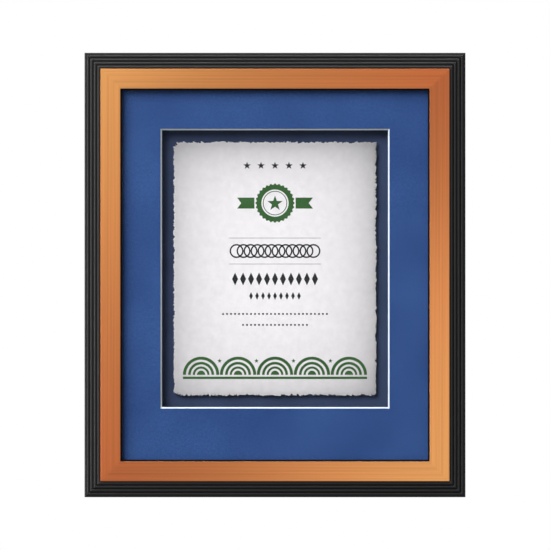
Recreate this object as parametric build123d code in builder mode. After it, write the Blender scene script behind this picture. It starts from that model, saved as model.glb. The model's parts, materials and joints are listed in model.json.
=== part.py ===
from build123d import *

import os
from collections import namedtuple
from math import pi, sin

# Certificate frame for a wall. A reeded moulding with a raised copper band is mitred round
# a shadow box: glazing, a window mat with a bevelled white core, spacers, and a torn-edge
# sheet that floats on a riser over a dark floor board. Turn buttons hold the backing board.
#
# X runs to the viewer's right, Y runs back to the wall and Z runs up. The origin is on the
# wall, at the nail that carries the hanger's middle notch. All sizes are in millimetres.

INCH = 25.4

# Frame
FRAME_WIDTH = 15 * INCH
FRAME_HEIGHT = 17.5 * INCH
MOULDING_WIDTH = 37.6
RABBET_WIDTH = 6.3
HANG_DROP = 18.0
WALL_GAP = 3.5

# Moulding section, from its outer edge in
OUTER_WALL = 15.9
SHOULDER_RADIUS = 1.3
REED_COUNT = 4
REED_PITCH = 3.6
REED_CLIMB = 1.2
REED_BULGE = 1.2
LIP_RADIUS = 1.2

# Copper band, bonded to the land behind the reeds
COPPER_INSET = 16.2
COPPER_WIDTH = 19.75
COPPER_THICKNESS = 2.0
COPPER_EDGE_RADIUS = 0.3

# What the rabbet holds, from the wall side forward
BACKING_THICKNESS = 3.0
FLOOR_THICKNESS = 1.5
SPACER_DEPTH = 9.6
SPACER_WIDTH = 12.0
MAT_CORE_THICKNESS = 1.4
MAT_FACING_THICKNESS = 0.3
GLAZING_THICKNESS = 2.0
PACK_CLEARANCE = 0.8

# Window mat: the borders that show inside the moulding, deeper at the foot
MAT_BORDER = 1.5 * INCH
MAT_FOOT_BORDER = 2 * INCH

# Floated sheet
SHEET_WIDTH = 8 * INCH
SHEET_HEIGHT = 10 * INCH
SHEET_THICKNESS = 1.2
RISER_THICKNESS = 2.8
RISER_INSET = 18.0
DECKLE_STEP = 2.8
DECKLE_WAVES = ((0.35, 67.0), (0.30, 23.0), (0.35, 12.5), (0.30, 6.1))
DECKLE_LOSS = 0.3
CORNER_WEAR = 2.0

# Turn buttons and their screws
BUTTON_INSET = 22.0
BUTTON_SPREAD = 0.27
BUTTON_GAUGE = 1.2
BUTTON_HUB_RADIUS = 6.0
BUTTON_TIP_RADIUS = 4.0
BUTTON_REACH = 20.0
BUTTON_BEND = 14.0
BUTTON_LIFT = 1.4
BUTTON_BEND_RADIUS = 6.0
RIB_START = 6.0
RIB_END = 13.5
RIB_WIDTH = 3.0
RIB_HEIGHT = 0.5
RIB_TAPER = 30.0
SCREW_RADIUS = 1.6
SCREW_LENGTH = 12.0
SCREW_HEAD_RADIUS = 3.2
SCREW_HEAD_HEIGHT = 2.0
RUNNING_FIT = 0.06
SEAT_CLEARANCE = 0.02

# Sawtooth hanger and its brads
HANGER_LENGTH = 48.0
HANGER_HEIGHT = 9.0
HANGER_GAUGE = 1.0
HANGER_FOOT = 11.0
HANGER_RAMP = 2.5
HANGER_BEND_RADIUS = 0.8
HANGER_CORNER_RADIUS = 2.0
TOOTH_COUNT = 7
TOOTH_PITCH = 2.8
TOOTH_LAND = 0.5
TOOTH_DEPTH = 1.8
BRAD_INSET = 5.0
BRAD_RADIUS = 0.9
BRAD_LENGTH = 10.0
BRAD_HEAD_RADIUS = 1.9
BRAD_HEAD_HEIGHT = 0.7

# Corner fasteners and wall bumpers
V_NAIL_INSETS = (9.0, 20.0)
V_NAIL_LEG = 5.0
V_NAIL_GAUGE = 0.6
V_NAIL_DEPTH = 10.0
BUMPER_RADIUS = 5.5
BUMPER_SIDE_INSET = 40.0
BUMPER_FOOT_INSET = 15.0

# Depths forward of the rail backs
FLOOR_BACK = BACKING_THICKNESS
WELL_BACK = FLOOR_BACK + FLOOR_THICKNESS
MAT_BACK = WELL_BACK + SPACER_DEPTH
MAT_THICKNESS = MAT_CORE_THICKNESS + MAT_FACING_THICKNESS
GLAZING_BACK = MAT_BACK + MAT_THICKNESS
LEDGE = GLAZING_BACK + GLAZING_THICKNESS
LAND = OUTER_WALL + SHOULDER_RADIUS + REED_COUNT * REED_CLIMB

# Outlines seen from the front
RAIL_BACK_WIDTH = MOULDING_WIDTH - RABBET_WIDTH
PACK_WIDTH = FRAME_WIDTH - 2 * (RAIL_BACK_WIDTH + PACK_CLEARANCE)
PACK_HEIGHT = FRAME_HEIGHT - 2 * (RAIL_BACK_WIDTH + PACK_CLEARANCE)
WINDOW_WIDTH = FRAME_WIDTH - 2 * (MOULDING_WIDTH + MAT_BORDER)
WINDOW_HEIGHT = FRAME_HEIGHT - 2 * MOULDING_WIDTH - MAT_BORDER - MAT_FOOT_BORDER
FRAME_MIDDLE = HANG_DROP - FRAME_HEIGHT / 2
PACK_MIDDLE = FRAME_MIDDLE - PACK_CLEARANCE
WINDOW_MIDDLE = FRAME_MIDDLE + (MAT_FOOT_BORDER - MAT_BORDER) / 2

RIGHT = Vector(1, 0, 0)
WALLWARD = Vector(0, 1, 0)
UP = Vector(0, 0, 1)
FRAME_CENTRE = Vector(0, -WALL_GAP, FRAME_MIDDLE)

# A side of the frame: the way in from its outer edge, the way along it, how far its outer
# edge is from the frame's centre, its length, and what its two ends are called
Side = namedtuple("Side", "name inward along reach length ends")
SIDES = (
    Side("top", -UP, RIGHT, FRAME_HEIGHT / 2, FRAME_WIDTH, ("left", "right")),
    Side("bottom", UP, RIGHT, FRAME_HEIGHT / 2, FRAME_WIDTH, ("left", "right")),
    Side("left", RIGHT, UP, FRAME_WIDTH / 2, FRAME_HEIGHT, ("lower", "upper")),
    Side("right", -RIGHT, UP, FRAME_WIDTH / 2, FRAME_HEIGHT, ("lower", "upper")),
)

os.makedirs("parts", exist_ok=True)


def save(builder, node):
    """Label a finished piece and write it as its own STEP file."""
    builder.part.label = node
    export_step(builder.part, f"parts/{node}.step")


def front_plane(depth):
    """Plane that faces the viewer, at a depth forward of the rail backs. Its axes are X and Z."""
    return Plane.XZ.offset(WALL_GAP + depth)


def back_point(side, inset, shift):
    """Point on the rail backs: in from a side's outer edge, and along from its middle."""
    return FRAME_CENTRE - side.inward * (side.reach - inset) + side.along * shift


def section_plane(side):
    """Plane across a side, with x in from the outer edge and y forward from the back."""
    return Plane(back_point(side, 0, 0), x_dir=side.inward, z_dir=WALLWARD.cross(side.inward))


def cut_mitres(side):
    """Trim the run being built to a 45 degree mitre at each end."""
    for end in (-1, 1):
        corner = back_point(side, 0, end * side.length / 2)
        mitre = Plane(corner, z_dir=side.along * end + side.inward)
        split(bisect_by=mitre, keep=Keep.BOTTOM)


def button_plane(side, end):
    """Plane on the rail back at a turn button's pivot, with x towards the backing board."""
    pivot = back_point(side, BUTTON_INSET, end * BUTTON_SPREAD * side.length)
    return Plane(pivot, x_dir=side.inward, z_dir=WALLWARD)


button_places = {}
for side in SIDES:
    for end, end_name in zip((-1, 1), side.ends):
        button_places[f"turn_button_{side.name}_{end_name}"] = button_plane(side, end)

brad_middle = HANGER_HEIGHT / 2 - TOOTH_DEPTH
brad_points = [(end * (HANGER_LENGTH / 2 - BRAD_INSET), brad_middle) for end in (-1, 1)]

# V-shaped corner fasteners, driven across each mitre from the back
with BuildPart() as v_nails:
    with BuildSketch(front_plane(0)):
        for across in (-1, 1):
            for upward in (-1, 1):
                for inset in V_NAIL_INSETS:
                    point_x = across * (FRAME_WIDTH / 2 - inset)
                    point_z = FRAME_MIDDLE + upward * (FRAME_HEIGHT / 2 - inset)
                    with BuildLine() as chevron:
                        Polyline(
                            (point_x - across * V_NAIL_LEG, point_z + upward * V_NAIL_LEG / 4),
                            (point_x, point_z),
                            (point_x + across * V_NAIL_LEG / 4, point_z - upward * V_NAIL_LEG),
                        )
                    trace(chevron.line, line_width=V_NAIL_GAUGE)
    extrude(amount=V_NAIL_DEPTH)
save(v_nails, "v_nails")

# Rails: one reeded section, run along each side and mitred
for side in SIDES:
    with BuildPart() as rail:
        with BuildSketch(section_plane(side)):
            with BuildLine():
                Line((0, 0), (0, OUTER_WALL))
                shoulder = JernArc((0, OUTER_WALL), (0, 1), SHOULDER_RADIUS, -90)
                foot = shoulder @ 1
                for reed in range(REED_COUNT):
                    next_foot = foot + Vector(REED_PITCH, REED_CLIMB)
                    SagittaArc(foot, next_foot, REED_BULGE)
                    foot = next_foot
                lip = Line(foot, (MOULDING_WIDTH - LIP_RADIUS, LAND))
                sight_edge = JernArc(lip @ 1, (1, 0), LIP_RADIUS, -90)
                Polyline(
                    sight_edge @ 1,
                    (MOULDING_WIDTH, LEDGE),
                    (RAIL_BACK_WIDTH, LEDGE),
                    (RAIL_BACK_WIDTH, 0),
                    (0, 0),
                )
            make_face()
        extrude(amount=side.length / 2, both=True)
        cut_mitres(side)
        add(v_nails.part, mode=Mode.SUBTRACT)
        with BuildSketch(front_plane(0)):
            with Locations(*[(place.origin.X, place.origin.Z) for place in button_places.values()]):
                Circle(SCREW_RADIUS + SEAT_CLEARANCE)
            with Locations(*brad_points):
                Circle(BRAD_RADIUS + SEAT_CLEARANCE)
        extrude(amount=SCREW_LENGTH + SEAT_CLEARANCE, mode=Mode.SUBTRACT)
    save(rail, f"{side.name}_rail")

# Copper band: a flat strip with eased front edges on each rail
for side in SIDES:
    with BuildPart() as strip:
        with BuildSketch(section_plane(side)):
            with Locations((COPPER_INSET, LAND)):
                Rectangle(COPPER_WIDTH, COPPER_THICKNESS, align=Align.MIN)
        extrude(amount=side.length / 2, both=True)
        long_edges = strip.edges().filter_by(Axis(FRAME_CENTRE, side.along))
        fillet(long_edges.group_by(Axis.Y)[0], COPPER_EDGE_RADIUS)
        cut_mitres(side)
    save(strip, f"copper_strip_{side.name}")

# Flat boards that fill the rabbet
BOARDS = (
    ("backing_board", 0, BACKING_THICKNESS),
    ("well_floor", FLOOR_BACK, FLOOR_THICKNESS),
    ("glazing", GLAZING_BACK, GLAZING_THICKNESS),
)
for node, depth, thickness in BOARDS:
    with BuildPart() as board:
        with BuildSketch(front_plane(depth)):
            with Locations((0, PACK_MIDDLE)):
                Rectangle(PACK_WIDTH, PACK_HEIGHT)
        extrude(amount=thickness)
    save(board, node)

# Window mat: a white core and a coloured facing, cut through together by one 45 degree bevel
with BuildPart() as bevel_cut:
    with BuildSketch(front_plane(MAT_BACK)):
        with Locations((0, WINDOW_MIDDLE)):
            Rectangle(WINDOW_WIDTH - 2 * MAT_THICKNESS, WINDOW_HEIGHT - 2 * MAT_THICKNESS)
    with BuildSketch(front_plane(GLAZING_BACK)):
        with Locations((0, WINDOW_MIDDLE)):
            Rectangle(WINDOW_WIDTH, WINDOW_HEIGHT)
    loft(ruled=True)

MAT_LAYERS = (
    ("window_mat_core", MAT_BACK, MAT_CORE_THICKNESS),
    ("window_mat_facing", MAT_BACK + MAT_CORE_THICKNESS, MAT_FACING_THICKNESS),
)
for node, depth, thickness in MAT_LAYERS:
    with BuildPart() as mat:
        with BuildSketch(front_plane(depth)):
            with Locations((0, PACK_MIDDLE)):
                Rectangle(PACK_WIDTH, PACK_HEIGHT)
        extrude(amount=thickness)
        add(bevel_cut.part, mode=Mode.SUBTRACT)
    save(mat, node)

# Spacers between the mat and the floor board, hidden behind the mat's borders
long_edge = (PACK_HEIGHT - SPACER_WIDTH) / 2
short_edge = (PACK_WIDTH - SPACER_WIDTH) / 2
SPACERS = (
    ("top", 0, long_edge, PACK_WIDTH, SPACER_WIDTH),
    ("bottom", 0, -long_edge, PACK_WIDTH, SPACER_WIDTH),
    ("left", -short_edge, 0, SPACER_WIDTH, PACK_HEIGHT - 2 * SPACER_WIDTH),
    ("right", short_edge, 0, SPACER_WIDTH, PACK_HEIGHT - 2 * SPACER_WIDTH),
)
for name, across, upward, width, height in SPACERS:
    with BuildPart() as spacer:
        with BuildSketch(front_plane(WELL_BACK)):
            with Locations((across, PACK_MIDDLE + upward)):
                Rectangle(width, height)
        extrude(amount=SPACER_DEPTH)
    save(spacer, f"spacer_strip_{name}")

# Riser that lifts the sheet off the floor board
with BuildPart() as float_riser:
    with BuildSketch(front_plane(WELL_BACK)):
        with Locations((0, WINDOW_MIDDLE)):
            Rectangle(SHEET_WIDTH - 2 * RISER_INSET, SHEET_HEIGHT - 2 * RISER_INSET)
    extrude(amount=RISER_THICKNESS)
save(float_riser, "float_riser")


def torn_side(length, turn):
    """Points along one torn side, from its start corner, as (distance along, distance out)."""
    steps = round(length / DECKLE_STEP)
    points = []
    for step in range(1, steps):
        along = length * step / steps
        out = sum(swell * sin(2 * pi * along / wave + turn * wave) for swell, wave in DECKLE_WAVES)
        to_corner = min(along, length - along)
        wear = DECKLE_LOSS + CORNER_WEAR * DECKLE_STEP / (DECKLE_STEP + to_corner)
        points.append((along, out - wear))
    return points


# Torn-edge sheet: one closed ragged line round the four sides, counter-clockwise from lower left
sheet_left = -SHEET_WIDTH / 2
sheet_foot = WINDOW_MIDDLE - SHEET_HEIGHT / 2
sheet_outline = [(sheet_left + along, sheet_foot - out) for along, out in torn_side(SHEET_WIDTH, 1)]
sheet_outline += [(-sheet_left + out, sheet_foot + along) for along, out in torn_side(SHEET_HEIGHT, 2)]
sheet_outline += [
    (-sheet_left - along, sheet_foot + SHEET_HEIGHT + out) for along, out in torn_side(SHEET_WIDTH, 3)
]
sheet_outline += [
    (sheet_left - out, sheet_foot + SHEET_HEIGHT - along) for along, out in torn_side(SHEET_HEIGHT, 4)
]
with BuildPart() as certificate_sheet:
    with BuildSketch(front_plane(WELL_BACK + RISER_THICKNESS)):
        with BuildLine():
            Polyline(*sheet_outline, close=True)
        make_face()
    extrude(amount=SHEET_THICKNESS)
save(certificate_sheet, "certificate_sheet")

# Turn button: a stamped strip with a round hub, a stiffening rib and a lifted tip
with BuildPart() as button:
    with BuildSketch(Plane.XZ):
        with BuildLine() as bend:
            FilletPolyline(
                (-BUTTON_HUB_RADIUS, BUTTON_GAUGE / 2),
                (BUTTON_BEND, BUTTON_GAUGE / 2),
                (BUTTON_REACH, BUTTON_GAUGE / 2 + BUTTON_LIFT),
                radius=BUTTON_BEND_RADIUS,
            )
        trace(bend.line, line_width=BUTTON_GAUGE)
    extrude(amount=BUTTON_HUB_RADIUS, both=True)
    with BuildSketch(Plane.XY):
        Circle(BUTTON_HUB_RADIUS)
        with Locations((BUTTON_REACH - BUTTON_TIP_RADIUS, 0)):
            Circle(BUTTON_TIP_RADIUS)
        make_hull()
    extrude(amount=BUTTON_GAUGE + BUTTON_LIFT, mode=Mode.INTERSECT)
    with BuildSketch(Plane.XY.offset(BUTTON_GAUGE)):
        with Locations(((RIB_START + RIB_END) / 2, 0)):
            Rectangle(RIB_END - RIB_START, RIB_WIDTH)
    extrude(amount=RIB_HEIGHT, taper=RIB_TAPER)
    with BuildSketch(Plane.XY):
        Circle(SCREW_RADIUS + RUNNING_FIT)
    extrude(amount=BUTTON_GAUGE, mode=Mode.SUBTRACT)

for node, place in button_places.items():
    with BuildPart() as turn_button:
        with Locations(place.location):
            add(button.part)
    save(turn_button, node)

# Pan-head screws that the turn buttons pivot on
with BuildPart() as screw:
    head_seat = BUTTON_GAUGE + RUNNING_FIT
    head_top = head_seat + SCREW_HEAD_HEIGHT
    with BuildSketch(Plane.XZ):
        with BuildLine():
            Polyline(
                (0, head_top),
                (0, -SCREW_LENGTH),
                (SCREW_RADIUS, -SCREW_LENGTH),
                (SCREW_RADIUS, head_seat),
                (SCREW_HEAD_RADIUS, head_seat),
                (SCREW_HEAD_RADIUS, head_top),
                close=True,
            )
        make_face()
    revolve(axis=Axis.Z)

with BuildPart() as turn_button_screws:
    with Locations(*[place.location for place in button_places.values()]):
        add(screw.part)
save(turn_button_screws, "turn_button_screws")

# Sawtooth hanger: a strip bent away from the rail, with notches along its lower edge
foot_middle = HANGER_GAUGE / 2 - WALL_GAP
bar_middle = -HANGER_GAUGE / 2
bar_end = HANGER_LENGTH / 2 - HANGER_FOOT - HANGER_RAMP
with BuildPart() as sawtooth_hanger:
    with BuildSketch(Plane.XY.offset(-TOOTH_DEPTH)):
        with BuildLine() as strip_line:
            FilletPolyline(
                (-HANGER_LENGTH / 2, foot_middle),
                (HANGER_FOOT - HANGER_LENGTH / 2, foot_middle),
                (-bar_end, bar_middle),
                (bar_end, bar_middle),
                (HANGER_LENGTH / 2 - HANGER_FOOT, foot_middle),
                (HANGER_LENGTH / 2, foot_middle),
                radius=HANGER_BEND_RADIUS,
            )
        trace(strip_line.line, line_width=HANGER_GAUGE)
    extrude(amount=HANGER_HEIGHT)
    end_edges = sawtooth_hanger.edges().filter_by(Axis.Y).group_by(Axis.X)
    fillet(end_edges[0] + end_edges[-1], HANGER_CORNER_RADIUS)
    with BuildSketch(Plane.XZ):
        with GridLocations(TOOTH_PITCH, 0, TOOTH_COUNT, 1):
            half_notch = (TOOTH_PITCH - TOOTH_LAND) / 2
            Polygon((-half_notch, -TOOTH_DEPTH), (half_notch, -TOOTH_DEPTH), (0, 0), align=None)
    extrude(amount=HANGER_GAUGE, mode=Mode.SUBTRACT)
    with BuildSketch(front_plane(0)):
        with Locations(*brad_points):
            Circle(BRAD_RADIUS + SEAT_CLEARANCE)
    extrude(amount=-HANGER_GAUGE, mode=Mode.SUBTRACT)
save(sawtooth_hanger, "sawtooth_hanger")

# Brads that hold the hanger's two feet
with BuildPart() as hanger_brads:
    with BuildSketch(front_plane(-HANGER_GAUGE)):
        with Locations(*brad_points):
            Circle(BRAD_RADIUS)
    extrude(amount=BRAD_LENGTH + HANGER_GAUGE)
    with BuildSketch(front_plane(-HANGER_GAUGE)):
        with Locations(*brad_points):
            Circle(BRAD_HEAD_RADIUS)
    extrude(amount=-BRAD_HEAD_HEIGHT)
save(hanger_brads, "hanger_brads")

# Rubber bumpers that keep the frame's foot as far off the wall as its hanger
for end, end_name in ((-1, "left"), (1, "right")):
    with BuildPart() as bumper:
        with BuildSketch(front_plane(0)):
            foot_point = back_point(SIDES[1], BUMPER_FOOT_INSET, 0)
            with Locations((end * (FRAME_WIDTH / 2 - BUMPER_SIDE_INSET), foot_point.Z)):
                Circle(BUMPER_RADIUS)
        extrude(amount=-WALL_GAP)
    save(bumper, f"wall_bumper_{end_name}")
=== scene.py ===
# %% [markdown]
# # A certificate frame, dressed for a studio picture
# The model that is loaded here is the real construction: rails, strips, boards and hardware
# at their true size, in metres, with the wall at y = 0 and the viewer on the -Y side. Nothing
# in it is moved. This lesson gives each piece its finish, and rebuilds those whose look needs
# a finer mesh, exactly where the construction says they are.

# %% Load the construction
import json
import math

import bmesh
import bpy
from mathutils import Matrix, Vector

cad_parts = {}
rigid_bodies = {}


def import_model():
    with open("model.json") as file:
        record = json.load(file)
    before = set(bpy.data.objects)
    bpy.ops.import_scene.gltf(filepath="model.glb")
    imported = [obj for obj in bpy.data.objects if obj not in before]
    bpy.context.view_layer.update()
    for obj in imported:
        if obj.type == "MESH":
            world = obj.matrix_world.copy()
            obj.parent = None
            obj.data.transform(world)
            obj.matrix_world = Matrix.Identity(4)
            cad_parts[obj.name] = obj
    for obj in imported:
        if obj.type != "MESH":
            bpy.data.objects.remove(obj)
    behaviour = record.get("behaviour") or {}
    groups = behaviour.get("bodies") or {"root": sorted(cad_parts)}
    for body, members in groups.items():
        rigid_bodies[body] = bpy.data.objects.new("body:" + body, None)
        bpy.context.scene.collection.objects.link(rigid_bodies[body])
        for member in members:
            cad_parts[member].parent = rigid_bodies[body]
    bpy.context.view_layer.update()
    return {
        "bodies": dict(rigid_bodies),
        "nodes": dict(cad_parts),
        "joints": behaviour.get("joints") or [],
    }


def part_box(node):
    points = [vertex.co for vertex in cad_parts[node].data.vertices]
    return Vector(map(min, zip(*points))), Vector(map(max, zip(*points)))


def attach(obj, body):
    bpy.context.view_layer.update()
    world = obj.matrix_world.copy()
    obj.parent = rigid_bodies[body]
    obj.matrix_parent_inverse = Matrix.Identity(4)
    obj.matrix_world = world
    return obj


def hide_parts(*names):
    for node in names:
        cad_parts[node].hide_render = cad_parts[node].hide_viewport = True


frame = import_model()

# %% [markdown]
# ## Measures
# Overall sizes and places are read from the construction's own boxes, so that a change there
# carries through. Finer sizes are named where they are used. The frame's four sides are alike:
# each has a way in from its outer edge, and a matrix that lays a drawing of its cross-section
# (x inwards, y towards the viewer, z along the rail) in its place.

# %% Measures and the four sides
MM = 0.001
UP = Vector((0, 0, 1))
RIGHT = Vector((1, 0, 0))
FORWARD = Vector((0, -1, 0))

frame_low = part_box("left_rail")[0]
frame_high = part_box("right_rail")[1]
frame_size = frame_high - frame_low
frame_centre = (frame_low + frame_high) / 2
RAIL_BACK = frame_high.y
MOULDING_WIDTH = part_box("left_rail")[1].x - frame_low.x

SIDES = {"top": -UP, "bottom": UP, "left": RIGHT, "right": -RIGHT}


def side_length(inward):
    """Length of the side whose rail looks inwards along a direction."""
    return frame_size.x if inward.z else frame_size.z


def side_place(inward):
    """Matrix from a rail's section drawing to its place on the frame."""
    reach = (frame_size.z if inward.z else frame_size.x) / 2
    along = inward.cross(FORWARD)
    origin = Vector((0, RAIL_BACK, frame_centre.z)) - inward * reach
    turn = Matrix((inward, FORWARD, along)).transposed().to_4x4()
    return Matrix.Translation(origin) @ turn


print("frame", [round(v / MM, 1) for v in frame_size], "mm, moulding", round(MOULDING_WIDTH / MM, 2), "mm")

# %% [markdown]
# ## Helpers
# A node tree is a list of nodes and links. One function adds a node, applies its settings
# and fills its inputs, with either a value or another node to link from. Its second half
# stands alone, because a shader is made first and filled last. Another function turns the hex
# colours of a paint chart (sRGB) into the linear light that shaders add up, and the last one
# puts a new object into the scene.

# %% Node, colour and object helpers
scene = bpy.context.scene


def fill(tree, node, inputs):
    """Fill inputs, by name or place, with values, nodes (first output), sockets, or lists of these."""
    for key, value in inputs.items():
        open_inputs = [socket for socket in node.inputs if socket.enabled]
        named = [socket for socket in open_inputs if socket.name == key]
        target = named[0] if named else open_inputs[key]
        for source in value if isinstance(value, list) else [value]:
            if isinstance(source, bpy.types.Node):
                source = next(socket for socket in source.outputs if socket.enabled)
            if isinstance(source, bpy.types.NodeSocket):
                tree.links.new(source, target)
            else:
                target.default_value = source


def add(tree, kind, inputs=None, **settings):
    """Add a node with its settings, and fill its inputs."""
    node = tree.nodes.new(kind)
    for name, value in settings.items():
        setattr(node, name, value)
    fill(tree, node, inputs or {})
    return node


def hex_colour(code):
    """Linear RGBA of an sRGB hex code such as C87941."""
    channels = [int(code[start:start + 2], 16) / 255 for start in (0, 2, 4)]
    linear = [c / 12.92 if c <= 0.04045 else ((c + 0.055) / 1.055) ** 2.4 for c in channels]
    return (*linear, 1.0)


def new_object(name, data):
    """Object for a mesh, a lamp or a camera, linked into the scene."""
    made = bpy.data.objects.new(name, data)
    scene.collection.objects.link(made)
    return made


print("mid grey 808080 is", round(hex_colour("808080")[0], 3), "in linear light")

# %% [markdown]
# ## Camera
# The picture is taken square on, from far enough away that the rails' inner walls hardly
# show. The lens follows from the width that the frame takes up in a 550 pixel wide picture,
# measured in the plane of the moulding's shoulder.

# %% Camera
PICTURE_PIXELS = 550
FRAME_PIXELS = 380.9
CAMERA_DISTANCE = 6.0
SENSOR_WIDTH = 36.0
SHOULDER_DEPTH = 16 * MM

camera_data = bpy.data.cameras.new("Camera")
camera_data.sensor_width = SENSOR_WIDTH
camera_data.lens = SENSOR_WIDTH * CAMERA_DISTANCE / (frame_size.x * PICTURE_PIXELS / FRAME_PIXELS)
camera = new_object("Camera", camera_data)
camera.location = (0, RAIL_BACK - SHOULDER_DEPTH - CAMERA_DISTANCE, frame_centre.z)
camera.rotation_euler = (math.radians(90), 0, 0)
scene.camera = camera
scene.view_settings.view_transform = "Standard"
print("lens", round(camera_data.lens, 1), "mm")

# %% [markdown]
# ## Studio
# A large soft box up on the left is the key: it rakes across the mat's bevel and draws the
# moulding's soft shadow, on matt surfaces only. The gloss is lit apart from these, as on a real
# table top where small reflectors show in metal but hardly light the paper: two strips, left
# and above, run along the reeds, and two cards on one diagonal answer each other in the copper,
# all four seen in reflections only. The white surround gives matt surfaces an even glow, and
# reflections one that is brightest straight ahead and straight behind. A box behind lights the
# back for anyone who walks round. The camera sees no soft box, so none stands in a picture. The
# floor lies well below the frame, and is kept out of its reflections and its bounced light.

# %% Soft boxes
def soft_box(name, offset, width, height, power, matt=True, gloss=True):
    """Soft box at an offset from the frame's centre, turned to face it."""
    data = bpy.data.lights.new(name, "AREA")
    data.shape = "RECTANGLE"
    data.size = width
    data.size_y = height
    data.energy = power
    lamp = new_object(name, data)
    lamp.location = frame_centre + Vector(offset)
    lamp.rotation_mode = "QUATERNION"
    lamp.rotation_quaternion = Vector(offset).to_track_quat("Z", "Y")
    lamp.visible_camera = False
    lamp.visible_diffuse = matt
    lamp.visible_glossy = gloss


soft_box("Key", offset=(-3.3, -3.4, 3.75), width=4.2, height=4.2, power=660, gloss=False)
soft_box("Left strip", offset=(-0.58, -0.50, 0.0), width=0.12, height=1.0, power=3.6, matt=False)
soft_box("Top strip", offset=(0.0, -0.50, 0.61), width=1.0, height=0.12, power=3.6, matt=False)
soft_box("Upper card", offset=(-0.34, -0.80, 0.29), width=0.42, height=0.62, power=0.44, matt=False)
soft_box("Lower card", offset=(0.31, -0.80, -0.16), width=0.66, height=0.46, power=0.57, matt=False)
soft_box("Back", offset=(0.9, 1.5, 0.9), width=1.2, height=1.2, power=22)
print("lit by", len(bpy.data.lights), "lamps")

# %% Surround and floor
WHITE = (1, 1, 1, 1)
MATT_GLOW = 0.33
GLOSS_GLOW = 0.22
GLOSS_FRONT = 0.175
FRONT_FOCUS = 7.0
FLOOR_DROP = 0.9
FLOOR_RADIUS = 2.2
FLOOR_SEGMENTS = 96
FLOOR_ROUGHNESS = 0.8

world = bpy.data.worlds.new("Studio surround")
world.use_nodes = True
sky = world.node_tree
sky.nodes.clear()
seen = add(sky, "ShaderNodeBackground", {"Color": WHITE, "Strength": 1.0})
towards = add(sky, "ShaderNodeTexCoord").outputs["Generated"]
ahead = add(sky, "ShaderNodeVectorMath", {0: towards, 1: tuple(FORWARD)}, operation="DOT_PRODUCT")
facing = add(sky, "ShaderNodeMath", {0: ahead.outputs["Value"]}, operation="ABSOLUTE")
focus = add(sky, "ShaderNodeMath", {0: facing, 1: FRONT_FOCUS}, operation="POWER")
gloss = add(sky, "ShaderNodeMath", {0: focus, 1: GLOSS_FRONT, 2: GLOSS_GLOW}, operation="MULTIPLY_ADD")
ray = add(sky, "ShaderNodeLightPath").outputs
level = add(sky, "ShaderNodeMix", {"Factor": ray["Is Glossy Ray"], "A": MATT_GLOW, "B": gloss})
cast = add(sky, "ShaderNodeBackground", {"Color": WHITE, "Strength": level})
surround = add(sky, "ShaderNodeMixShader", {0: ray["Is Camera Ray"], 1: cast, 2: seen})
add(sky, "ShaderNodeOutputWorld", {"Surface": surround})
scene.world = world

floor_mesh = bpy.data.meshes.new("studio_floor")
disc = bmesh.new()
bmesh.ops.create_circle(disc, cap_ends=True, segments=FLOOR_SEGMENTS, radius=FLOOR_RADIUS)
disc.transform(Matrix.Translation((0, 0, frame_low.z - FLOOR_DROP)))
disc.to_mesh(floor_mesh)
disc.free()
floor = new_object("studio_floor", floor_mesh)
floor_paint = bpy.data.materials.new("Pale studio floor")
floor_paint.use_nodes = True
floor_shader = floor_paint.node_tree.nodes["Principled BSDF"]
fill(floor_paint.node_tree, floor_shader, {"Base Color": hex_colour("E9E9E7"), "Roughness": FLOOR_ROUGHNESS})
floor_mesh.materials.append(floor_paint)
floor.visible_diffuse = False
floor.visible_glossy = False
print("floor at", round(frame_low.z - FLOOR_DROP, 3), "m")

# %% [markdown]
# ## Finishes
# Each material is a small function named for what the real thing is made of. All but the glass
# start from the Principled shader; what differs is the pattern that drives colour, roughness
# and bump. Patterns on the rails and strips follow a UV map called "run", in metres: U along
# the rail and V across it. The others read Object coordinates, which are metres as well. The
# size of a drawn-out grain has three parts, one for each axis; a part of 1 m leaves its axis
# alone.

# %% Material helpers
RUN_UV = "run"


def tones(factor, dark, light):
    """Inputs for a blend of two hex colours."""
    return {"Factor": factor, "A": hex_colour(dark), "B": hex_colour(light)}


def drawn_grain(tree, vector, sizes, detail, distortion=0.0):
    """Noise whose marks have these sizes along the three axes."""
    scale = tuple(1 / size for size in sizes)
    space = add(tree, "ShaderNodeMapping", {"Vector": vector, "Scale": scale})
    grain = {"Vector": space, "Scale": 1.0, "Detail": detail, "Distortion": distortion}
    return add(tree, "ShaderNodeTexNoise", grain)


def new_material(name, constants, kind="ShaderNodeBsdfPrincipled"):
    """Material with one shader at its output; returns it with its tree and that shader."""
    material = bpy.data.materials.new(name)
    material.use_nodes = True
    tree = material.node_tree
    tree.nodes.clear()
    shader = add(tree, kind, constants)
    add(tree, "ShaderNodeOutputMaterial", {"Surface": shader})
    return material, tree, shader


print("patterns on the rails follow the UV map", RUN_UV)

# %% [markdown]
# ### Black lacquer on wood
# The moulding is a softwood rail, sprayed black in a satin sheen. The spray stops at the
# back, where bare wood shows with a little overspray along its outer edge. Lacquer pulls into
# the grain, so its gloss wavers in long fine lines along the rail. The narrow sight edge inside
# the copper is brushed over in flat black, so that nothing shines beside the mat.

# %% Satin black lacquer over bare wood
LACQUER_GRAIN = (90 * MM, 0.5 * MM, 1)
WOOD_GRAIN = (60 * MM, 1.3 * MM, 1)
WOOD_TONES = ((0.3, "A77C4E"), (0.72, "D9BC8E"))
OVERSPRAY = 3 * MM
MIST_PATCH = 8 * MM
BACK_SKIN = 0.3 * MM
EDGE_BRUSH = (40 * MM, 0.4 * MM, 1)


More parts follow.
